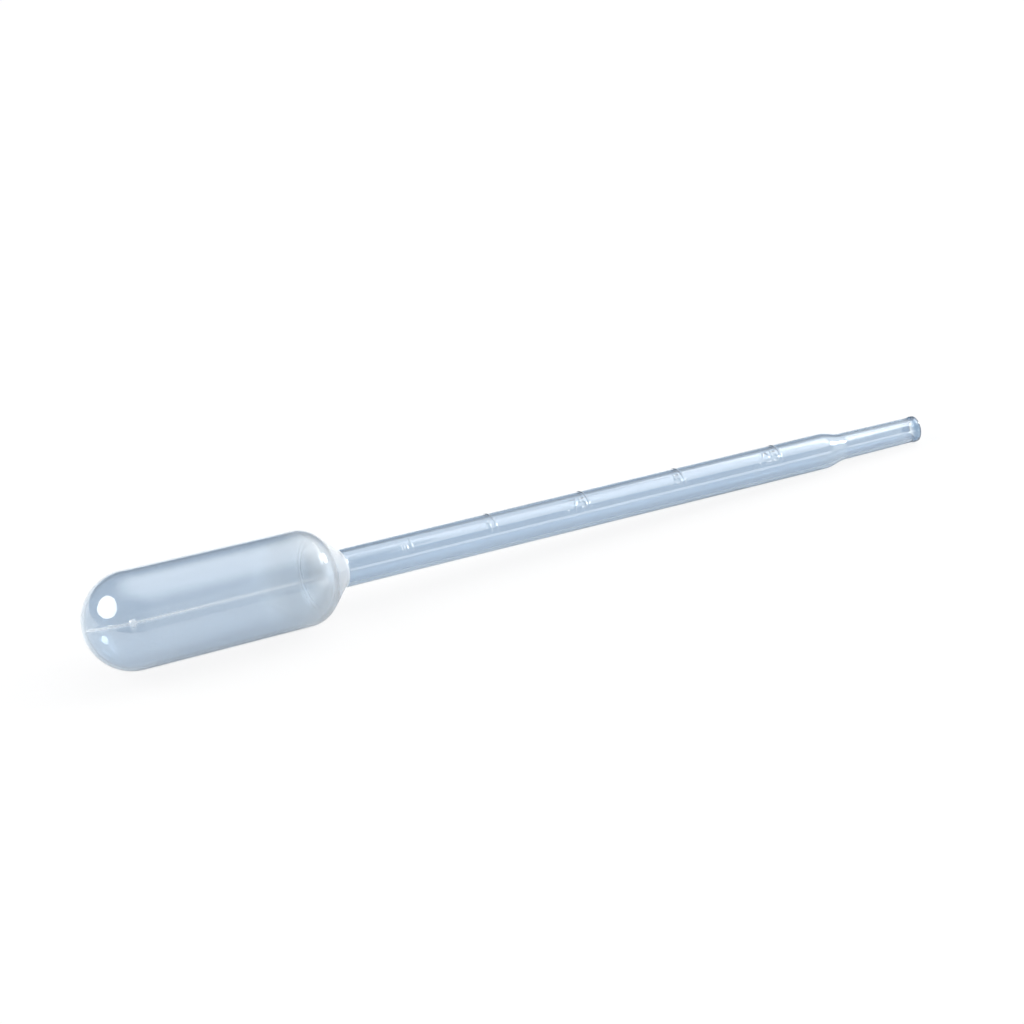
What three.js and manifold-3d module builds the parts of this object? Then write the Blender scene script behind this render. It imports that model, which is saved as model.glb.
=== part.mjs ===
// A one-piece dropper pipette, blow moulded in soft polyethylene: a closed bulb, a shoulder
// cone, a thin stem with raised graduations and a drawn-down open tip.
// Millimetres, +Z up. It lies at rest on the bulb's shoulder and the tip's rim, with the bulb
// towards -X and the tip towards +X.
import * as THREE from 'three';
import { mergeVertices } from 'three/addons/utils/BufferGeometryUtils.js';
import Module from 'manifold-3d';

const wasm = await Module();
wasm.setup();

const degrees = THREE.MathUtils.degToRad;

// Lengths along the axis. Places on the axis are counted from the top of the dome.
const overallLength = 145;
const bulbLength = 43; // dome, side and shoulder cone, to the neck where the stem begins
const tipLength = 17.2; // drawn-down end, with the step that leads to it
const stepLength = 4;
const rimLength = 1.1;
const rimFlare = 0.5;

// Outer diameters
const bulbDiameter = 14.9; // where the dome ends
const shoulderDiameter = 14.4; // where the shoulder begins
const stemDiameter = 5.75; // at the neck
const stemEndDiameter = 5.4; // where the step begins
const tipDiameter = 4.05; // where the step ends
const tipEndDiameter = 3.8; // where the rim begins
const rimDiameter = 4;

// Shoulder cone and rounded edges
const shoulderAngle = degrees(42); // between the cone's side and the axis
const shoulderRounding = 4.5;
const neckFillet = 1.3;
const rimRounding = 0.2;

// Walls
const bulbWall = 0.45;
const shoulderWall = 0.65;
const stemWall = 0.6;
const tipWall = 0.5;

// Parting line of the mould, a fine ridge on both sides, with a vent pip on the bulb
const seamAngle = degrees(27); // above the horizontal, on the -Y side
const seamWidth = 0.36;
const seamHeight = 0.1;
const pipDiameter = 0.8;
const pipHeight = 0.2;
const domeToPip = 4.2; // along the axis, from the top of the dome

// Raised marks on the stem: a bar at each graduation, plain figures and the unit
const graduationVolume = 250; // cubic millimetres between bars
const graduationFigures = ['.25', '.5', '.75', '1'];
const unitLetters = 'ml';
const unitToNeck = 9;
const markHeight = 0.14;
const markSink = 0.25;
const strokeWidth = 0.26;
const barArc = degrees(95);
const seamToMarks = degrees(9);
const figureHeight = 1.7;
const figureWidth = 0.95;
const figureGap = 0.5;
const figureToBar = 0.55;

// Facets
const aroundCount = 40;
const domeSteps = 9;
const cornerSteps = 4;
const filletSteps = 3;
const stepSteps = 6;
const flareSteps = 2;
const rimSteps = 2;
const wrapStep = 0.45; // length of a mark's step round the stem
const pipSides = 12;
const pipRings = 8;
const cutOverrun = 1; // how far the hollow is cut past the open tip
const volumeStep = 0.02;
const mergeTolerance = 1e-5;

const bulbRadius = bulbDiameter / 2;
const shoulderRadius = shoulderDiameter / 2;
const stemRadius = stemDiameter / 2;
const stemEndRadius = stemEndDiameter / 2;
const tipRadius = tipDiameter / 2;
const tipEndRadius = tipEndDiameter / 2;
const rimRadius = rimDiameter / 2;

const stepStart = overallLength - tipLength;
const stepEnd = stepStart + stepLength;
const rimStart = overallLength - rimLength;
const rimLandStart = rimStart + rimFlare;
const rimLandEnd = overallLength - rimRounding;

// A profile point: x is the distance from the axis, y the place along it.
const point = (radius, place) => new THREE.Vector2(radius, place);

// Points on an arc whose radius may change from one end to the other.
function arc(centre, startRadius, endRadius, startAngle, endAngle, steps) {
  const points = [];
  for (let i = 0; i <= steps; i += 1) {
    const share = i / steps;
    const angle = startAngle + (endAngle - startAngle) * share;
    const radius = startRadius + (endRadius - startRadius) * share;
    points.push(point(centre.x + radius * Math.cos(angle), centre.y + radius * Math.sin(angle)));
  }
  return points;
}

// Points on a smooth S from one profile point to another.
function blend(from, to, steps) {
  const points = [];
  for (let i = 0; i <= steps; i += 1) {
    const share = i / steps;
    const ease = (1 - Math.cos(Math.PI * share)) / 2;
    points.push(point(
      from.x + (to.x - from.x) * ease,
      from.y + (to.y - from.y) * share,
    ));
  }
  return points;
}

// The cone's straight side runs from the rounded corner to the fillet at the neck.
const domeCentre = point(0, bulbRadius);
const filletCentre = point(stemRadius + neckFillet, bulbLength);
const coneLow = point(
  filletCentre.x - neckFillet * Math.cos(shoulderAngle),
  filletCentre.y - neckFillet * Math.sin(shoulderAngle),
);
const coneHighRadius = shoulderRadius - shoulderRounding * (1 - Math.cos(shoulderAngle));
const coneHigh = point(
  coneHighRadius,
  coneLow.y - (coneHighRadius - coneLow.x) / Math.tan(shoulderAngle),
);
const cornerCentre = point(
  shoulderRadius - shoulderRounding,
  coneHigh.y - shoulderRounding * Math.sin(shoulderAngle),
);

function outerProfile() {
  return [
    ...arc(domeCentre, bulbRadius, bulbRadius, -Math.PI / 2, 0, domeSteps),
    ...arc(cornerCentre, shoulderRounding, shoulderRounding, 0, shoulderAngle, cornerSteps),
    ...arc(filletCentre, neckFillet, neckFillet, Math.PI + shoulderAngle, Math.PI, filletSteps),
    ...blend(point(stemEndRadius, stepStart), point(tipRadius, stepEnd), stepSteps),
    ...blend(point(tipEndRadius, rimStart), point(rimRadius, rimLandStart), flareSteps),
    ...arc(point(rimRadius - rimRounding, rimLandEnd), rimRounding, rimRounding,
      0, Math.PI / 2, rimSteps),
  ];
}

function hollowProfile() {
  const boreRadius = stemRadius - stemWall;
  const boreEndRadius = stemEndRadius - stemWall;
  const tipBoreRadius = tipRadius - tipWall;
  const tipBoreEndRadius = tipEndRadius - tipWall;
  const insideConeHigh = point(
    coneHigh.x - shoulderWall * Math.cos(shoulderAngle),
    coneHigh.y - shoulderWall * Math.sin(shoulderAngle),
  );
  const boreStart = insideConeHigh.y + (insideConeHigh.x - boreRadius) / Math.tan(shoulderAngle);
  return [
    ...arc(domeCentre, bulbRadius - bulbWall, bulbRadius - bulbWall, -Math.PI / 2, 0, domeSteps),
    ...arc(cornerCentre, shoulderRounding - bulbWall, shoulderRounding - shoulderWall,
      0, shoulderAngle, cornerSteps),
    point(boreRadius, boreStart),
    ...blend(point(boreEndRadius, stepStart), point(tipBoreRadius, stepEnd), stepSteps),
    point(tipBoreEndRadius, overallLength),
    point(tipBoreEndRadius, overallLength + cutOverrun),
  ];
}

const outer = outerProfile();
const hollow = hollowProfile();

// The radius of a profile at a place along the axis.
function radiusAt(profile, place) {
  const after = profile.findIndex((each) => each.y >= place);
  if (after <= 0) {
    return profile[after === 0 ? 0 : profile.length - 1].x;
  }
  const low = profile[after - 1];
  const high = profile[after];
  const share = (place - low.y) / (high.y - low.y);
  return low.x + (high.x - low.x) * share;
}

// A closed three.js geometry as a solid that can be joined and cut.
function solidOf(geometry) {
  const bare = geometry.index ? geometry.clone() : geometry;
  bare.deleteAttribute('normal');
  bare.deleteAttribute('uv');
  const merged = mergeVertices(bare, mergeTolerance);
  const index = merged.index.array;
  const triangles = [];
  for (let i = 0; i < index.length; i += 3) {
    const [a, b, c] = [index[i], index[i + 1], index[i + 2]];
    if (a !== b && b !== c && c !== a) {
      triangles.push(a, b, c);
    }
  }
  return new wasm.Manifold(new wasm.Mesh({
    numProp: 3,
    vertProperties: new Float32Array(merged.attributes.position.array),
    triVerts: new Uint32Array(triangles),
  }));
}

function geometryOf(solid) {
  const mesh = solid.getMesh();
  const geometry = new THREE.BufferGeometry();
  const positions = new THREE.BufferAttribute(new Float32Array(mesh.vertProperties), 3);
  geometry.setAttribute('position', positions);
  geometry.setIndex(new THREE.BufferAttribute(new Uint32Array(mesh.triVerts), 1));
  geometry.computeVertexNormals();
  return geometry;
}

// A solid of revolution about Y. Half a facet of turn leaves a flat facet underneath.
function turned(profile) {
  const closed = [point(0, profile[0].y), ...profile, point(0, profile.at(-1).y)];
  return solidOf(new THREE.LatheGeometry(closed, aroundCount, Math.PI / aroundCount));
}

// The turn about Y that faces a height angle on the near side once the axis lies along +X.
const turnFor = (heightAngle) => Math.PI / 2 - heightAngle;

// The parting line: a thin plate in the mould's plane, proud of the outline by seamHeight.
function seamSolid() {
  const side = outer
    .filter((each) => each.y <= rimStart)
    .map((each, i, all) => {
      const before = all[Math.max(i - 1, 0)];
      const after = all[Math.min(i + 1, all.length - 1)];
      const along = after.clone().sub(before).normalize();
      const away = i === 0 ? point(0, -1) : point(along.y, -along.x);
      return each.clone().addScaledVector(away, seamHeight);
    });
  const otherSide = side.slice(1).reverse().map((each) => point(-each.x, each.y));
  const plate = new THREE.ExtrudeGeometry(new THREE.Shape([...side, ...otherSide]), {
    depth: seamWidth,
    bevelEnabled: false,
  });
  plate.translate(0, 0, -seamWidth / 2);
  plate.rotateY(turnFor(seamAngle) - Math.PI / 2);
  return solidOf(plate);
}

// The vent pip stands on the dome, a short way from its top along the near seam.
function pipSolid() {
  const pip = new THREE.SphereGeometry(pipDiameter / 2, pipSides, pipRings);
  const fromDomeCentre = bulbRadius + pipHeight - pipDiameter / 2;
  pip.translate(0, 0, fromDomeCentre);
  pip.rotateX(Math.asin(1 - Math.min(domeToPip / bulbRadius, 1)));
  pip.translate(0, bulbRadius, 0);
  pip.rotateY(turnFor(seamAngle));
  return solidOf(pip);
}

// Lays a flat mark on the stem: x runs along the axis, y up round the stem from the
// start of the marks, z outwards from the surface.
function wrapOnStem(geometry, place) {
  const positions = geometry.attributes.position;
  for (let i = 0; i < positions.count; i += 1) {
    const along = place + positions.getX(i);
    const surface = radiusAt(outer, along);
    const turn = turnFor(seamAngle + seamToMarks + positions.getY(i) / surface);
    const radius = surface + positions.getZ(i);
    positions.setXYZ(i, radius * Math.sin(turn), along, radius * Math.cos(turn));
  }
  return solidOf(geometry);
}

// A straight stroke between two points of a mark, in the mark's flat frame. It has as many
// steps as it needs to follow the stem round.
function strokeGeometry(start, end) {
  const run = end.clone().sub(start);
  const steps = Math.max(1, Math.round(Math.abs(run.y) / wrapStep));
  const thickness = markHeight + markSink;
  const stroke = new THREE.BoxGeometry(run.length() + strokeWidth, strokeWidth, thickness, steps);
  stroke.rotateZ(run.angle());
  const middle = start.clone().add(end).multiplyScalar(0.5);
  stroke.translate(middle.x, middle.y, thickness / 2 - markSink);
  return stroke;
}

// Plain characters as strokes in a box one wide and one high.
const characterStrokes = {
  '.': [[[0.5, 0], [0.5, 0.03]]],
  1: [[[0.15, 0.75], [0.55, 1], [0.55, 0]]],
  2: [[[0, 0.8], [0.3, 1], [0.8, 1], [1, 0.7], [0, 0], [1, 0]]],
  5: [[[1, 1], [0.1, 1], [0.05, 0.58], [0.7, 0.6], [1, 0.3], [0.7, 0], [0, 0]]],
  7: [[[0, 1], [1, 1], [0.35, 0]]],
  m: [[[0, 0], [0, 0.62], [0.9, 0.62], [1, 0]], [[0.5, 0.62], [0.5, 0]]],
  l: [[[0.4, 1], [0.4, 0]]],
};

// The solids of a row of characters that starts at a place on the stem.
function characterSolids(text, startPlace) {
  const solids = [];
  [...text].forEach((character, position) => {
    const left = position * (figureWidth + figureGap);
    for (const line of characterStrokes[character]) {
      const path = line.map(([x, y]) => point(left + x * figureWidth, y * figureHeight));
      for (let i = 1; i < path.length; i += 1) {
        solids.push(wrapOnStem(strokeGeometry(path[i - 1], path[i]), startPlace));
      }
    }
  });
  return solids;
}

const textLength = (text) => text.length * (figureWidth + figureGap) - figureGap;

// The place on the axis up to which the bore, filled from the tip, holds a volume.
function placeHolding(volume) {
  let place = overallLength;
  let held = 0;
  while (held < volume && place > bulbLength) {
    held += Math.PI * radiusAt(hollow, place) ** 2 * volumeStep;
    place -= volumeStep;
  }
  return place;
}

function markSolids() {
  const solids = characterSolids(unitLetters, bulbLength + unitToNeck);
  graduationFigures.forEach((figures, i) => {
    const barPlace = placeHolding(graduationVolume * (i + 1));
    const figuresPlace = barPlace - figureToBar - textLength(figures);
    if (figuresPlace > bulbLength) {
      const arcLength = barArc * radiusAt(outer, barPlace);
      solids.push(wrapOnStem(strokeGeometry(point(0, 0), point(0, arcLength)), barPlace));
      solids.push(...characterSolids(figures, figuresPlace));
    }
  });
  return solids;
}

function pipetteGeometry() {
  let solid = turned(outer).add(seamSolid()).add(pipSolid());
  for (const mark of markSolids()) {
    solid = solid.add(mark);
  }
  return geometryOf(solid.subtract(turned(hollow)));
}

// The tilt at which the bulb's shoulder and the front's lowest point, which is the tip's rim at
// these sizes, touch the same floor.
function restTilt() {
  const facetFlat = Math.cos(Math.PI / aroundCount);
  const front = outer.filter((each) => each.y > bulbLength);
  const bulb = outer.filter((each) => each.y < bulbLength);
  const tilts = bulb.map((high) => Math.min(
    ...front.map((low) => Math.atan2((high.x - low.x) * facetFlat, low.y - high.y)),
  ));
  return Math.max(...tilts);
}

const polyethylene = new THREE.MeshStandardMaterial({
  name: 'polyethylene',
  color: new THREE.Color(0.8, 0.86, 0.91),
  roughness: 0.3,
  metalness: 0,
  transparent: true,
  opacity: 0.6,
});

const pipette = new THREE.Mesh(pipetteGeometry(), polyethylene);
pipette.name = 'pipette';
pipette.rotation.z = -Math.PI / 2;

const lying = new THREE.Group();
lying.add(pipette);
lying.rotation.y = restTilt();

// The origin is under the middle of the whole object, on the surface that it lies on.
const bounds = new THREE.Box3().setFromObject(lying, true);
const middle = bounds.getCenter(new THREE.Vector3());
lying.position.set(-middle.x, -middle.y, -bounds.min.z);

const group = new THREE.Group();
group.add(lying);

export default group;
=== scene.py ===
from math import atan2, cos, hypot, pi, radians, sin, tan

import bpy
from mathutils import Matrix, Vector


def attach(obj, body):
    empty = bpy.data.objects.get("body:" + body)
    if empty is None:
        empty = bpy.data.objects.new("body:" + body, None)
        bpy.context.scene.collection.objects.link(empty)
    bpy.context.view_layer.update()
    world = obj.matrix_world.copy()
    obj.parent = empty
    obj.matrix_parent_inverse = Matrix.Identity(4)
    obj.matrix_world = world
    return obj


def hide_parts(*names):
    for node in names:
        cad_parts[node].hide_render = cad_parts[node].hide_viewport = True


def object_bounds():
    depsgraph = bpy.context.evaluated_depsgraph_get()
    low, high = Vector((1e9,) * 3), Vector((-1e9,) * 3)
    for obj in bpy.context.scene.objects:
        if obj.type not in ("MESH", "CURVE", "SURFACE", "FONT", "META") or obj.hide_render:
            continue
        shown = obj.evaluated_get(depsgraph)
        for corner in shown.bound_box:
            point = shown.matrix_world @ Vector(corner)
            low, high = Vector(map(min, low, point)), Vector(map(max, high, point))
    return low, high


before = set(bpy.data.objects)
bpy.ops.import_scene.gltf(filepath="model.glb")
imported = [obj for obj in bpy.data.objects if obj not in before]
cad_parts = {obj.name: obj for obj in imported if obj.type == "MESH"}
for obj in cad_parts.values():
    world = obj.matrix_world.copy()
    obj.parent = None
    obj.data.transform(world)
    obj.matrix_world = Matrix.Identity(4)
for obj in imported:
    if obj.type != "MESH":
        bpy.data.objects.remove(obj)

cadLow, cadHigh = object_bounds()
print("frame loaded")

mm = 0.001
tiny = 1e-9  # metres, less than any real size here

# ---- the moulding, with the solid's own sizes, but a softer seam and pip
pipette = {
    "length": 145 * mm,
    "bulbLength": 43 * mm,  # dome, side and shoulder cone, to the neck
    "bulbWidth": 14.9 * mm,  # where the dome ends
    "shoulderWidth": 14.4 * mm,  # where the shoulder begins
    "shoulderAngle": radians(42),
    "shoulderRounding": 4.5 * mm,
    "neckFillet": 1.3 * mm,
    "stemWidth": 5.75 * mm,  # at the neck
    "stemEndWidth": 5.4 * mm,  # where the step down begins
    "tipLength": 17.2 * mm,  # with the step down
    "stepLength": 4 * mm,
    "tipWidth": 4.05 * mm,  # where the step ends
    "tipEndWidth": 3.8 * mm,  # where the rim begins
    "rimLength": 1.1 * mm,
    "rimFlare": 0.5 * mm,  # how far along it widens
    "rimWidth": 4 * mm,
    "rimRounding": 0.2 * mm,
    "boreRounding": 0.12 * mm,
    "bulbWall": 0.45 * mm,
    "shoulderWall": 0.65 * mm,
    "stemWall": 0.6 * mm,
    "tipWall": 0.5 * mm,
    "seamAngle": radians(27),  # above the horizontal, on the near side
    "seamWidth": 1 * mm,
    "seamHeight": 0.05 * mm,
    "farSeam": 0.3,  # how proud the far seam is, as a share of the near one
    "stemSeam": 0.2,  # how proud the seam is on the stem, as a share of the bulb's
    "seamToStem": (3 * mm, 0.5 * mm),  # from and to, before the neck, it sinks to that
    "seamToRim": (1 * mm, 0),  # from and to, before the rim, it sinks away
    "pipWidth": 1.7 * mm,
    "pipHeight": 0.28 * mm,
    "domeToPip": 4.2 * mm,
    "wallWave": 0.02,  # how much the blown wall varies, as a share
    "waveRuns": (9 * mm, 6 * mm),  # how far along a wave of two or of three lobes turns a radian
    "threeLobes": 0.6,  # how strong the second wave is beside the first
    "waveFrom": 2 * mm,  # the radius from which the waves are full
}

# ---- how cloudy the plastic is, from 0 for clear to 1 for white; below 0 the tint is deeper; the white at the step down is a painted highlight, and the pip's white is partly one
clouding = {
    "seam": (0.75, 0.4),  # at the dome, at the neck
    "pip": 1.5,  # partly a painted highlight; more than 1 spreads the white down its sides
    "mark": 0.35,
    "markSpread": 1.6,  # the same for a mark's edges
    "shoulder": 0.52,
    "shoulderRise": (13 * mm, 6 * mm),  # from and to, before the neck
    "neck": 1.0,
    "neckRise": (4.8 * mm, 2.4 * mm),
    "neckEnd": (0.5 * mm, 0.2 * mm),
    "stemDepth": 0.08,  # how much deeper the tint is along the stem
    "stemRise": (0.7 * mm, 0),
    # a painted highlight round the step down
    "step": 0.12,
    "stepHighlightRise": (3 * mm, -1 * mm),  # from and to, before the step down starts
    "rim": 0.3,  # a pale ring before the open end
    "rimRing": (2 * mm, 0.6 * mm),  # its middle before the end, and its reach to each side
    "rimDepth": 0.3,  # how much deeper the tint is at the very end
    "rimDepthFade": (1.3 * mm, 1.7 * mm),  # from and to, before the end, it fades away
}

# ---- raised marks: a bar every quarter millilitre, plain figures and the unit
marks = {
    "step": 250 * mm ** 3,
    "figures": [".25", ".5", ".75", "1"],
    "unit": "ml",
    "unitToNeck": 9 * mm,
    "height": 0.08 * mm,  # lower than in the solid
    "stroke": 0.26 * mm,
    "soft": 0.07 * mm,  # how far a stroke's edge is rounded
    "barArc": radians(95),
    "fromSeam": radians(9),
    "figureHeight": 1.7 * mm,
    "figureWidth": 0.95 * mm,
    "figureGap": 0.5 * mm,
    "figureToBar": 0.55 * mm,
}

# ---- how fine the mesh is
detail = {
    "coarse": 1.6 * mm,  # longest step along a straight
    "inside": 1.1 * mm,  # the same in the hollow
    "fine": 0.08 * mm,  # step across a mark
    "stretch": 1.2,  # how much longer a last step may be, so that no sliver is left over
    "margin": 0.3 * mm,  # how far the fine steps run past a mark
    "pipMargins": 3,  # how many margins they run to each side of the pip
    "seamSteps": (0.06 * mm, 0.13 * mm, 0.2 * mm, 0.28 * mm, 0.4 * mm, 0.57 * mm),
    "seamTurn": radians(1),  # widest turn between two columns at the seam
    "markTurns": (radians(7), radians(48)),
    "markColumns": 29,
    "plainColumns": 38,  # from the marks to the far seam
    "farColumns": 48,  # from the far seam round the underside
    "outerSteps": {"dome": 44, "corner": 24, "fillet": 14, "step": 20, "flare": 8, "edge": 6},
    "hollowSteps": {"dome": 30, "corner": 20, "fillet": 14, "step": 14, "edge": 4},
    "bowSteps": 8,
    "smallBowSteps": 6,
    "volumeStep": 0.02 * mm,  # how fine the held volume is summed
}


def arc(centre, radii, angles, steps):
    points = []
    for i in range(steps + 1):
        share = i / steps
        angle = angles[0] + (angles[1] - angles[0]) * share
        radius = radii[0] + (radii[1] - radii[0]) * share
        points.append((centre[0] + radius * cos(angle), centre[1] + radius * sin(angle)))
    return points


def sCurve(start, end, steps):
    points = []
    for i in range(steps + 1):
        share = i / steps
        ease = (1 - cos(pi * share)) / 2
        radius = start[0] + (end[0] - start[0]) * ease
        points.append((radius, start[1] + (end[1] - start[1]) * share))
    return points


# a point of an outline is (distance from the axis, place along it from the dome's top);
# these two are the middles of the shoulder's rounding and of the fillet at the neck
def shoulderCentres(p):
    angle, rounding, fillet = p["shoulderAngle"], p["shoulderRounding"], p["neckFillet"]
    filletCentre = (p["stemWidth"] / 2 + fillet, p["bulbLength"])
    low = (filletCentre[0] - fillet * cos(angle), filletCentre[1] - fillet * sin(angle))
    highRadius = p["shoulderWidth"] / 2 - rounding * (1 - cos(angle))
    highPlace = low[1] - (highRadius - low[0]) / tan(angle)
    cornerCentre = (p["shoulderWidth"] / 2 - rounding, highPlace - rounding * sin(angle))
    return cornerCentre, filletCentre


def outerLine(p):
    cornerCentre, filletCentre = shoulderCentres(p)
    steps = detail["outerSteps"]
    bulb, angle = p["bulbWidth"] / 2, p["shoulderAngle"]
    rounding, fillet = p["shoulderRounding"], p["neckFillet"]
    stepStart = p["length"] - p["tipLength"]
    stepEnd = (p["tipWidth"] / 2, stepStart + p["stepLength"])
    rimStart = p["length"] - p["rimLength"]
    flareEnd = (p["rimWidth"] / 2, rimStart + p["rimFlare"])
    edge = p["rimRounding"]
    edgeCentre = (p["rimWidth"] / 2 - edge, p["length"] - edge)
    line = arc((0, bulb), (bulb, bulb), (-pi / 2, 0), steps["dome"])
    line += arc(cornerCentre, (rounding, rounding), (0, angle), steps["corner"])
    line += arc(filletCentre, (fillet, fillet), (pi + angle, pi), steps["fillet"])
    line += sCurve((p["stemEndWidth"] / 2, stepStart), stepEnd, steps["step"])
    line += sCurve((p["tipEndWidth"] / 2, rimStart), flareEnd, steps["flare"])
    line += arc(edgeCentre, (edge, edge), (0, pi / 2), steps["edge"])
    return line


def hollowLine(p):
    cornerCentre, filletCentre = shoulderCentres(p)
    steps = detail["hollowSteps"]
    angle, rounding, wall = p["shoulderAngle"], p["shoulderRounding"], p["shoulderWall"]
    cornerRadii = (rounding - p["bulbWall"], rounding - wall)
    neckRadii = (p["neckFillet"] + wall, p["neckFillet"] + p["stemWall"])
    stemBore = p["stemEndWidth"] / 2 - p["stemWall"]
    tipBore = p["tipWidth"] / 2 - p["tipWall"]
    tipBoreEnd = p["tipEndWidth"] / 2 - p["tipWall"]
    inside = p["bulbWidth"] / 2 - p["bulbWall"]
    stepStart = p["length"] - p["tipLength"]
    edge = p["boreRounding"]
    edgeCentre = (tipBoreEnd + edge, p["length"] - edge)
    line = arc((0, p["bulbWidth"] / 2), (inside, inside), (-pi / 2, 0), steps["dome"])
    line += arc(cornerCentre, cornerRadii, (0, angle), steps["corner"])
    line += arc(filletCentre, neckRadii, (pi + angle, pi), steps["fillet"])
    line += sCurve((stemBore, stepStart), (tipBore, stepStart + p["stepLength"]), steps["step"])
    line += arc(edgeCentre, (edge, edge), (pi, pi / 2), steps["edge"])
    return line


def radiusAt(line, place):
    for low, high in zip(line, line[1:]):
        if low[1] <= place <= high[1] and high[1] > low[1]:
            return low[0] + (high[0] - low[0]) * (place - low[1]) / (high[1] - low[1])
    return line[-1][0]


# where the hollow holds that volume, counted from the open end
def placeHolding(p, volume):
    line, step = hollowLine(p), detail["volumeStep"]
    place, held = p["length"] - p["boreRounding"], 0
    while held < volume:
        held += pi * radiusAt(line, place) ** 2 * step
        place -= step
    return place


# ---- figures as strokes in a box one wide and one high
def bow(centre, size, angles, steps=detail["bowSteps"]):
    turns = [radians(angles[0] + (angles[1] - angles[0]) * i / steps) for i in range(steps + 1)]
    return [(centre[0] + size[0] * cos(t), centre[1] + size[1] * sin(t)) for t in turns]


figureLines = {
    ".": [[(0.5, 0.0), (0.5, 0.04)]],
    "1": [[(0.15, 0.78), (0.5, 1.0), (0.5, 0.0)]],
    "2": [bow((0.5, 0.7), (0.48, 0.3), (165, -32)) + [(0.02, 0.0), (1.0, 0.0)]],
    "5": [
        [(0.92, 1.0), (0.15, 1.0), (0.08, 0.55)] + bow((0.46, 0.33), (0.52, 0.33), (118, -140)),
    ],
    "7": [[(0.0, 1.0), (1.0, 1.0), (0.35, 0.0)]],
    "m": [
        [(0.0, 0.0), (0.0, 0.64)],
        bow((0.25, 0.42), (0.25, 0.22), (180, 0), detail["smallBowSteps"]) + [(0.5, 0.0)],
        bow((0.75, 0.42), (0.25, 0.22), (180, 0), detail["smallBowSteps"]) + [(1.0, 0.0)],
    ],
    "l": [[(0.4, 1.0), (0.4, 0.0)]],
}


def textStrokes(text, start):
    strokes = []
    for position, character in enumerate(text):
        left = start + position * (marks["figureWidth"] + marks["figureGap"])
        for line in figureLines[character]:
            points = [(left + x * marks["figureWidth"], y * marks["figureHeight"]) for x, y in line]
            strokes += zip(points, points[1:])
    return strokes


def textLength(text):
    return len(text) * (marks["figureWidth"] + marks["figureGap"]) - marks["figureGap"]


# each label is the stretch of stem that it takes and its strokes, along and round the stem
def makeLabels(p):
    start = p["bulbLength"] + marks["unitToNeck"]
    labels = [(start, start + textLength(marks["unit"]), textStrokes(marks["unit"], start))]
    for i, text in enumerate(marks["figures"]):
        bar = placeHolding(p, marks["step"] * (i + 1))
        start = bar - marks["figureToBar"] - textLength(text)
        barLength = marks["barArc"] * radiusAt(outerLine(p), bar)
        labels.append((start, bar, textStrokes(text, start) + [((bar, 0), (bar, barLength))]))
    return labels


def strokeDistance(point, stroke):
    (ax, ay), (bx, by) = stroke
    run = (bx - ax, by - ay)
    share = ((point[0] - ax) * run[0] + (point[1] - ay) * run[1]) / (run[0] ** 2 + run[1] ** 2)
    share = min(1, max(0, share))
    return hypot(point[0] - ax - run[0] * share, point[1] - ay - run[1] * share)


def smooth(low, high, value):
    share = min(1, max(0, (value - low) / (high - low)))
    return share * share * (3 - 2 * share)


def bump(share):
    return (1 - share * share) ** 2 if share < 1 else 0


# from 0 to 1 between two distances before an end
def rise(end, reach, place):
    return smooth(end - reach[0], end - reach[1], place)


# how far the skin stands proud of the plain outline, and how milky it is for that, with the pip's
# white partly a painted highlight;
# turn is counted from the near seam
def relief(p, labels, radius, place, turn):
    seam = p["seamHeight"] * bump(radius * abs(sin(turn)) / (p["seamWidth"] / 2))
    seam *= 1 if cos(turn) > 0 else p["farSeam"]
    seam *= 1 - (1 - p["stemSeam"]) * rise(p["bulbLength"], p["seamToStem"], place)
    seam *= 1 - rise(p["length"] - p["rimLength"], p["seamToRim"], place)
    nearTurn = turn if turn < pi else turn - 2 * pi
    bulb, toPip = p["bulbWidth"] / 2, p["domeToPip"]
    pipRadius = (bulb ** 2 - (bulb - toPip) ** 2) ** 0.5
    pipDistance = hypot(place - toPip, radius - pipRadius, radius * nearTurn)
    pip = p["pipHeight"] * bump(pipDistance / (p["pipWidth"] / 2))
    mark = 0
    reach = marks["stroke"] / 2 + marks["soft"]
    for start, end, strokes in labels:
        if start - reach < place < end + reach and nearTurn > 0:
            point = (place, radius * (nearTurn - marks["fromSeam"]))
            away = min(strokeDistance(point, each) for each in strokes)
            raised = 1 - smooth(marks["stroke"] / 2 - marks["soft"], reach, away)
            mark = max(mark, marks["height"] * raised)
    atDome, atNeck = clouding["seam"]
    seamMilk = atDome + (atNeck - atDome) * smooth(0, p["bulbLength"], place)
    # the pip's white here is partly a painted highlight
    white = max(seamMilk * seam / p["seamHeight"], min(1, clouding["pip"] * pip / p["pipHeight"]))
    markMilk = clouding["mark"] * min(1, clouding["markSpread"] * mark / marks["height"])
    return max(seam, pip, mark), max(white, markMilk)


# ---- the skin as one grid: out over the dome, along to the rim and back inside the bore
def resample(line, stepAt):
    rows = [line[0]]
    for low, high in zip(line, line[1:]):
        span = hypot(high[0] - low[0], high[1] - low[1])
        done = 0
        while done < span - tiny:
            step = stepAt(low[1] + (high[1] - low[1]) * done / span)
            done = span if done + detail["stretch"] * step > span else done + step
            share = done / span
            rows.append((low[0] + (high[0] - low[0]) * share, low[1] + (high[1] - low[1]) * share))
    return rows


def fineStep(p, labels):
    margin = detail["margin"]
    aroundPip = detail["pipMargins"] * margin
    zones = [(p["domeToPip"] - aroundPip, p["domeToPip"] + aroundPip)]
    zones += [(start - margin, end + margin) for start, end, _ in labels]

    def stepAt(place):
        if any(start <= place < end for start, end in zones):
            return detail["fine"]
        ahead = [start - place for start, _ in zones if start > place]
        return max(detail["fine"], min([detail["coarse"]] + ahead))

    return stepAt


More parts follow.
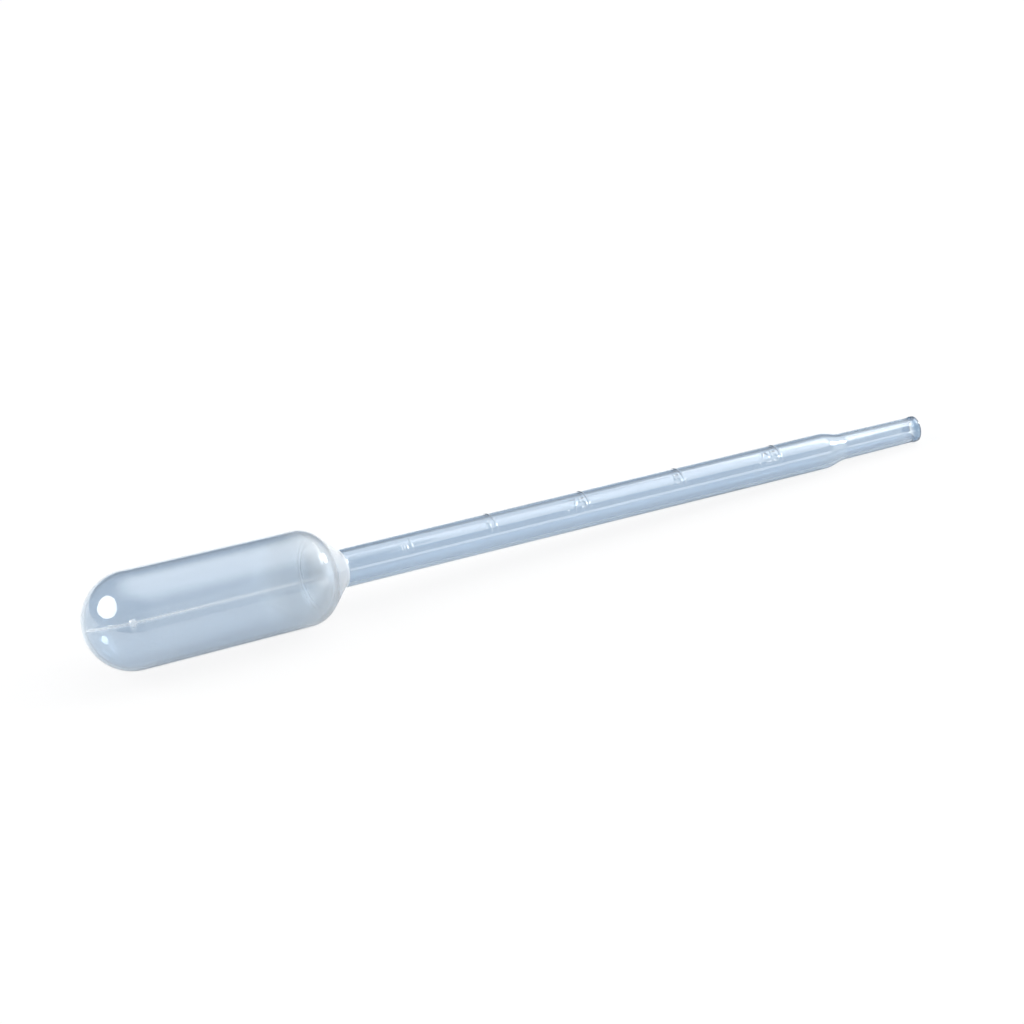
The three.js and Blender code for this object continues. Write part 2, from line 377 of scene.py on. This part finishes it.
# where the columns stand round one row: close at both seams and across the marks
def columnTurns(radius):
    steps, seamTurn = detail["seamSteps"], detail["seamTurn"]
    fan = [min(step / radius, seamTurn * (i + 1)) for i, step in enumerate(steps)]
    widest = len(steps) * seamTurn
    low, high = detail["markTurns"]
    count, plain, far = detail["markColumns"], detail["plainColumns"], detail["farColumns"]
    turns = [0] + fan
    turns += [low + (high - low) * i / count for i in range(count + 1)]
    turns += [high + (pi - widest - high) * i / plain for i in range(1, plain)]
    turns += [pi - turn for turn in reversed(fan)] + [pi] + [pi + turn for turn in fan]
    turns += [pi + widest + (pi - 2 * widest) * i / far for i in range(1, far)]
    turns += [2 * pi - turn for turn in reversed(fan)]
    return turns


def rowNormals(rows):
    normals = []
    for i in range(len(rows)):
        before, after = rows[max(i - 1, 0)], rows[min(i + 1, len(rows) - 1)]
        along = (after[0] - before[0], after[1] - before[1])
        size = hypot(*along)
        normals.append((along[1] / size, -along[0] / size))
    return normals


# the dip at which the bulb's shoulder and the front's lowest point touch the same floor
def restTilt(p):
    line = outerLine(p)
    bulb = [point for point in line if point[1] < p["bulbLength"]]
    front = [point for point in line if point[1] > p["bulbLength"]]
    return max(min(atan2(high[0] - low[0], low[1] - high[1]) for low in front) for high in bulb)


# how milky the plastic is by its place along the pipette, with a painted highlight at the step down
def milkAndHighlightAt(p, place):
    neck, stepStart = p["bulbLength"], p["length"] - p["tipLength"]
    white = clouding["shoulder"] * rise(neck, clouding["shoulderRise"], place)
    white += (clouding["neck"] - clouding["shoulder"]) * rise(neck, clouding["neckRise"], place)
    white *= 1 - rise(neck, clouding["neckEnd"], place)
    white -= clouding["stemDepth"] * rise(neck, clouding["stemRise"], place)
    # the step down gets a painted highlight
    step = rise(stepStart, clouding["stepHighlightRise"], place)
    step *= 1 - smooth(stepStart + p["stepLength"] / 2, stepStart + p["stepLength"], place)
    toEnd = p["length"] - place
    ringMiddle, ringReach = clouding["rimRing"]
    rim = clouding["rim"] * bump(abs(toEnd - ringMiddle) / ringReach)
    rim -= clouding["rimDepth"] * (1 - smooth(*clouding["rimDepthFade"], toEnd))
    return white + clouding["step"] * step + rim


# the hollow's wall waves in and out, least near the axis
def wallLift(p, radius, place, turn):
    firstRun, secondRun = p["waveRuns"]
    wave = cos(2 * turn + place / firstRun) + p["threeLobes"] * cos(3 * turn - place / secondRun)
    return p["wallWave"] * p["bulbWall"] * wave * min(1, radius / p["waveFrom"])


def buildPipette(p):
    labels = makeLabels(p)
    outer = resample(outerLine(p), fineStep(p, labels))
    hollow = resample(hollowLine(p), lambda place: detail["inside"])
    hollow.reverse()
    rows = [(radius, place, True) for radius, place in outer]
    rows += [(radius, place, False) for radius, place in hollow]
    normals = rowNormals(outer) + rowNormals(hollow)
    normals[0] = (0, -1)  # straight out at the dome's top

    vertices, milkAndHighlight, rings = [], [], []
    for (radius, place, isOuter), normal in zip(rows, normals):
        atPole = radius < tiny
        turns = [0] if atPole else columnTurns(radius)
        # this carries the painted highlight at the step down as well as the milkiness
        plainMilkAndHighlight = milkAndHighlightAt(p, place)
        rings.append(range(len(vertices), len(vertices) + len(turns)))
        for turn in turns:
            if isOuter:
                lift, white = relief(p, labels, radius, place, turn)
            else:
                lift, white = 0 if atPole else wallLift(p, radius, place, turn), 0
            skinRadius, skinPlace = radius + normal[0] * lift, place + normal[1] * lift
            height = p["seamAngle"] + turn
            vertices.append((skinPlace, -skinRadius * cos(height), skinRadius * sin(height)))
            milkAndHighlight.append(max(plainMilkAndHighlight, white) if white else plainMilkAndHighlight)

    faces = []
    for first, second in zip(rings, rings[1:]):
        count = max(len(first), len(second))
        for i in range(count):
            j = (i + 1) % count
            if len(first) == 1:
                faces.append((first[0], second[i], second[j]))
            elif len(second) == 1:
                faces.append((first[i], second[0], first[j]))
            else:
                faces.append((first[i], second[i], second[j], first[j]))

    mesh = bpy.data.meshes.new("dropperPipette")
    mesh.from_pydata(vertices, [], faces)
    mesh.transform(Matrix.Rotation(restTilt(p), 4, "Y"))
    xs = [v.co.x for v in mesh.vertices]
    lowest = min(v.co.z for v in mesh.vertices)
    middle = (cadLow.x + cadHigh.x) / 2
    mesh.transform(Matrix.Translation((middle - (min(xs) + max(xs)) / 2, 0, cadLow.z - lowest)))
    mesh.polygons.foreach_set("use_smooth", [True] * len(mesh.polygons))
    # the attribute holds the milkiness and the painted highlights at the pip and the step down
    mesh.attributes.new("milkAndHighlight", "FLOAT", "POINT").data.foreach_set("value", milkAndHighlight)
    mesh.validate()
    piece = bpy.data.objects.new("dropperPipette", mesh)
    bpy.context.scene.collection.objects.link(piece)
    print("pipette built:", len(mesh.polygons), "faces")
    return piece


# ---- soft see-through plastic
plastic = {
    "deep": (0.33, 0.44, 0.57, 1),
    "clear": (0.765, 0.81, 0.868, 1),
    "milky": (0.97, 0.98, 0.99, 1),
    "milkRange": (-0.3, 0.6),  # from deep to milky
    "clearAt": 0.33,  # as a share of that range
    "letThrough": (0.93, 0.55),  # clear, white
    "opaqueFrom": 0.2,  # how milky it is where it begins to let less through
    "roughness": (0.02, 0.06),
    "milkyRoughness": 0.42,
    "roughFrom": 0.25,
    "bend": 1.51,
    "tint": (0.44, 0.68, 0.85, 1),
    "tintDensity": 500,
    "skinGloss": 1.0,
    "skinRoughness": 0.04,
    "streakMilk": 0.12,
    "streakSize": (25 * mm, 2.4 * mm, 2.4 * mm),
    "streakDetail": 3,
    "blotchScale": 260,  # to the metre
    "blotchDetail": 4,
    "ridgeSize": (40 * mm, 1.1 * mm, 1.1 * mm),
    "ridgeHeight": 0.004 * mm,
    "ridgeStrength": 0.5,
}


def link(tree, start, end):
    tree.links.new(start, end)


# noise drawn out along the pipette, as the tube was
def makeStreaks(tree, place, size, fineness):
    stretch = tree.nodes.new("ShaderNodeMapping")
    stretch.vector_type = "TEXTURE"
    stretch.inputs["Rotation"].default_value = (0, restTilt(pipette), 0)
    stretch.inputs["Scale"].default_value = size
    link(tree, place.outputs["Object"], stretch.inputs["Vector"])
    streaks = tree.nodes.new("ShaderNodeTexNoise")
    streaks.inputs["Scale"].default_value = 1
    streaks.inputs["Detail"].default_value = fineness
    link(tree, stretch.outputs["Vector"], streaks.inputs["Vector"])
    return streaks


def makePlastic(values):
    material = bpy.data.materials.new("clearPolyethylene")
    material.use_nodes = True
    tree = material.node_tree
    skin = tree.nodes["Principled BSDF"]
    skin.inputs["IOR"].default_value = values["bend"]
    skin.inputs["Coat Weight"].default_value = values["skinGloss"]
    skin.inputs["Coat Roughness"].default_value = values["skinRoughness"]

    place = tree.nodes.new("ShaderNodeTexCoord")
    streaks = makeStreaks(tree, place, values["streakSize"], values["streakDetail"])
    # this attribute holds the milkiness and the painted highlights at the pip and the step down
    milkAndHighlight = tree.nodes.new("ShaderNodeAttribute")
    milkAndHighlight.attribute_name = "milkAndHighlight"
    streakMilk = tree.nodes.new("ShaderNodeMath")
    streakMilk.operation = "MULTIPLY_ADD"
    streakMilk.inputs[1].default_value = values["streakMilk"]
    link(tree, streaks.outputs["Fac"], streakMilk.inputs[0])
    link(tree, milkAndHighlight.outputs["Fac"], streakMilk.inputs[2])
    depth = tree.nodes.new("ShaderNodeMapRange")
    depth.inputs["From Min"].default_value = values["milkRange"][0]
    depth.inputs["From Max"].default_value = values["milkRange"][1]
    link(tree, streakMilk.outputs["Value"], depth.inputs["Value"])
    colour = tree.nodes.new("ShaderNodeValToRGB")
    colour.color_ramp.elements[0].color = values["deep"]
    colour.color_ramp.elements[1].color = values["milky"]
    colour.color_ramp.elements.new(values["clearAt"]).color = values["clear"]
    link(tree, depth.outputs["Result"], colour.inputs["Fac"])
    link(tree, colour.outputs["Color"], skin.inputs["Base Color"])
    clear = tree.nodes.new("ShaderNodeMapRange")
    clear.inputs["From Min"].default_value = values["opaqueFrom"]
    clear.inputs["To Min"].default_value = values["letThrough"][0]
    clear.inputs["To Max"].default_value = values["letThrough"][1]
    link(tree, milkAndHighlight.outputs["Fac"], clear.inputs["Value"])
    link(tree, clear.outputs["Result"], skin.inputs["Transmission Weight"])

    blotches = tree.nodes.new("ShaderNodeTexNoise")
    blotches.inputs["Scale"].default_value = values["blotchScale"]
    blotches.inputs["Detail"].default_value = values["blotchDetail"]
    link(tree, place.outputs["Object"], blotches.inputs["Vector"])
    gloss = tree.nodes.new("ShaderNodeMapRange")
    gloss.inputs["To Min"].default_value = values["roughness"][0]
    gloss.inputs["To Max"].default_value = values["roughness"][1]
    link(tree, blotches.outputs["Fac"], gloss.inputs["Value"])
    cloudy = tree.nodes.new("ShaderNodeMapRange")
    cloudy.inputs["From Min"].default_value = values["roughFrom"]
    cloudy.inputs["To Max"].default_value = values["milkyRoughness"]
    link(tree, milkAndHighlight.outputs["Fac"], cloudy.inputs["Value"])
    rough = tree.nodes.new("ShaderNodeMath")
    link(tree, gloss.outputs["Result"], rough.inputs[0])
    link(tree, cloudy.outputs["Result"], rough.inputs[1])
    link(tree, rough.outputs["Value"], skin.inputs["Roughness"])

    ridges = makeStreaks(tree, place, values["ridgeSize"], values["streakDetail"])
    uneven = tree.nodes.new("ShaderNodeBump")
    uneven.inputs["Strength"].default_value = values["ridgeStrength"]
    uneven.inputs["Distance"].default_value = values["ridgeHeight"]
    link(tree, ridges.outputs["Fac"], uneven.inputs["Height"])
    link(tree, uneven.outputs["Normal"], skin.inputs["Normal"])

    body = tree.nodes.new("ShaderNodeVolumeAbsorption")
    body.inputs["Color"].default_value = values["tint"]
    body.inputs["Density"].default_value = values["tintDensity"]
    link(tree, body.outputs["Volume"], tree.nodes["Material Output"].inputs["Volume"])
    return material


piece = buildPipette(pipette)
piece.data.materials.append(makePlastic(plastic))
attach(piece, "root")
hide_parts("pipette")
print("plastic made")


# ---- floor, world and lamps
studio = {
    "floorWidth": 4,
    "floorColour": (0.80, 0.81, 0.82, 1),
    "floorRoughness": 0.9,
    "floorWhite": (0.9, 0.15, 0.6),  # share of plain white seen straight, mirrored, through plastic
    "worldWhite": (1, 0.1, 0.1),  # the same for the tent
    "white": (1, 1, 1, 1),
    "cloth": (0.18, 0.235, 0.31, 1),  # the tent between its lit patches
    "patchColour": (1, 0.98, 0.94, 1),
    "patches": {  # direction round and above, squeeze, full out to, gone by, brightness
        "overhead": (114, 60, 0.8, 0.2, 0.82, 1.75),
        "right": (80, 12, 1, 0.2, 0.9, 1.5),
        "front": (28, 0, 1, 0.2, 1.0, 0.5),
    },
    "lampColour": (1, 0.97, 0.92),
    "lamps": {  # shape, direction round and above, distance, width, height, roll, brightness
        "leftBox": ("ELLIPSE", -107, 32, 0.6, 0.56, 0.42, 5, 5),
        "rightBox": ("ELLIPSE", 78, 34, 0.7, 0.28, 0.2, -12, 12),
        "stemBox": ("RECTANGLE", 73.5, 52, 0.5, 0.105, 0.39, -68, 1.5),
        "lowBox": ("RECTANGLE", 34, 6, 0.5, 0.15, 0.11, 0, 1.5),
        "tipBox": ("RECTANGLE", 98, 48, 0.54, 0.38, 0.05, 0, 2.4),
    },
}


def direction(azimuth, elevation):
    a, e = radians(azimuth), radians(elevation)
    return Vector((sin(a) * cos(e), -cos(a) * cos(e), sin(e)))


# how much of the plain white a ray sees: straight, mirrored or through the plastic
def whiteShare(tree, shares):
    rays = tree.nodes.new("ShaderNodeLightPath")
    total = None
    for name, share in zip(("Is Camera Ray", "Is Glossy Ray", "Is Transmission Ray"), shares):
        part = tree.nodes.new("ShaderNodeMath")
        part.operation = "MULTIPLY_ADD"
        part.inputs[1].default_value = share
        part.inputs[2].default_value = 0
        link(tree, rays.outputs[name], part.inputs[0])
        if total:
            link(tree, total, part.inputs[2])
        total = part.outputs["Value"]
    return total


def makeFloor(values):
    half = values["floorWidth"] / 2
    mesh = bpy.data.meshes.new("tableTop")
    corners = [(-half, -half), (half, -half), (half, half), (-half, half)]
    mesh.from_pydata([(x, y, cadLow.z) for x, y in corners], [], [(0, 1, 2, 3)])
    floor = bpy.data.objects.new("tableTop", mesh)
    bpy.context.scene.collection.objects.link(floor)
    material = bpy.data.materials.new("whitePaper")
    material.use_nodes = True
    tree = material.node_tree
    paper = tree.nodes["Principled BSDF"]
    paper.inputs["Base Color"].default_value = values["floorColour"]
    paper.inputs["Roughness"].default_value = values["floorRoughness"]
    glow = tree.nodes.new("ShaderNodeEmission")
    mix = tree.nodes.new("ShaderNodeMixShader")
    link(tree, whiteShare(tree, values["floorWhite"]), mix.inputs["Fac"])
    link(tree, paper.outputs["BSDF"], mix.inputs[1])
    link(tree, glow.outputs["Emission"], mix.inputs[2])
    link(tree, mix.outputs["Shader"], tree.nodes["Material Output"].inputs["Surface"])
    mesh.materials.append(material)


# a soft round patch of light on the tent; squeeze above 1 makes it narrower along the pipette,
# and below 1 it makes it wider
def makePatch(tree, place, azimuth, elevation, squeeze, inner, outer, brightness):
    away = tree.nodes.new("ShaderNodeVectorMath")
    away.operation = "SUBTRACT"
    away.inputs[1].default_value = direction(azimuth, elevation)
    link(tree, place.outputs["Generated"], away.inputs[0])
    squeezed = tree.nodes.new("ShaderNodeVectorMath")
    squeezed.operation = "MULTIPLY"
    squeezed.inputs[1].default_value = (squeeze, 1, 1)
    link(tree, away.outputs["Vector"], squeezed.inputs[0])
    far = tree.nodes.new("ShaderNodeVectorMath")
    far.operation = "LENGTH"
    link(tree, squeezed.outputs["Vector"], far.inputs[0])
    patch = tree.nodes.new("ShaderNodeMapRange")
    patch.interpolation_type = "SMOOTHSTEP"
    patch.inputs["From Min"].default_value = outer
    patch.inputs["From Max"].default_value = inner
    patch.inputs["To Max"].default_value = brightness
    link(tree, far.outputs["Value"], patch.inputs["Value"])
    return patch.outputs["Result"]


def makeWorld(values):
    world = bpy.data.worlds.new("whiteTent")
    bpy.context.scene.world = world
    world.use_nodes = True
    tree = world.node_tree
    place = tree.nodes.new("ShaderNodeTexCoord")
    level = None
    for patch in values["patches"].values():
        lit = tree.nodes.new("ShaderNodeMath")
        link(tree, makePatch(tree, place, *patch), lit.inputs[0])
        lit.inputs[1].default_value = 0
        if level:
            link(tree, level, lit.inputs[1])
        level = lit.outputs["Value"]
    cloth = tree.nodes["Background"]
    cloth.inputs["Color"].default_value = values["cloth"]
    patches = tree.nodes.new("ShaderNodeBackground")
    patches.inputs["Color"].default_value = values["patchColour"]
    link(tree, level, patches.inputs["Strength"])
    tent = tree.nodes.new("ShaderNodeAddShader")
    link(tree, cloth.outputs["Background"], tent.inputs[0])
    link(tree, patches.outputs["Background"], tent.inputs[1])
    white = tree.nodes.new("ShaderNodeBackground")
    white.inputs["Color"].default_value = values["white"]
    mix = tree.nodes.new("ShaderNodeMixShader")
    link(tree, whiteShare(tree, values["worldWhite"]), mix.inputs["Fac"])
    link(tree, tent.outputs["Shader"], mix.inputs[1])
    link(tree, white.outputs["Background"], mix.inputs[2])
    link(tree, mix.outputs["Shader"], tree.nodes["World Output"].inputs["Surface"])


def makeLamp(name, shape, azimuth, elevation, distance, width, height, roll, brightness):
    light = bpy.data.lights.new(name, "AREA")
    light.shape = shape
    light.size = width
    light.size_y = height
    area = width * height * (pi / 4 if shape == "ELLIPSE" else 1)
    light.energy = brightness * pi * area
    light.color = studio["lampColour"]
    lamp = bpy.data.objects.new(name, light)
    bpy.context.scene.collection.objects.link(lamp)
    away = direction(azimuth, elevation)
    lamp.location = (cadLow + cadHigh) / 2 + away * distance
    turn = away.to_track_quat("Z", "Y").to_matrix() @ Matrix.Rotation(radians(roll), 3, "Z")
    lamp.rotation_euler = turn.to_euler()
    lamp.visible_camera = False


makeFloor(studio)
makeWorld(studio)
for name, values in studio["lamps"].items():
    makeLamp(name, *values)
print("studio ready")

# ---- camera
shot = {
    "azimuth": -32,
    "elevation": 28,
    "distance": 1.3,
    "frameWidth": 0.152,
}

camera = bpy.data.cameras.new("camera")
camera.lens = camera.sensor_width * shot["distance"] / shot["frameWidth"]
view = bpy.data.objects.new("camera", camera)
bpy.context.scene.collection.objects.link(view)
away = direction(shot["azimuth"], shot["elevation"])
view.location = (cadLow + cadHigh) / 2 + away * shot["distance"]
view.rotation_euler = away.to_track_quat("Z", "Y").to_euler()
bpy.context.scene.camera = view
bpy.context.scene.view_settings.view_transform = "Standard"

print("camera set")
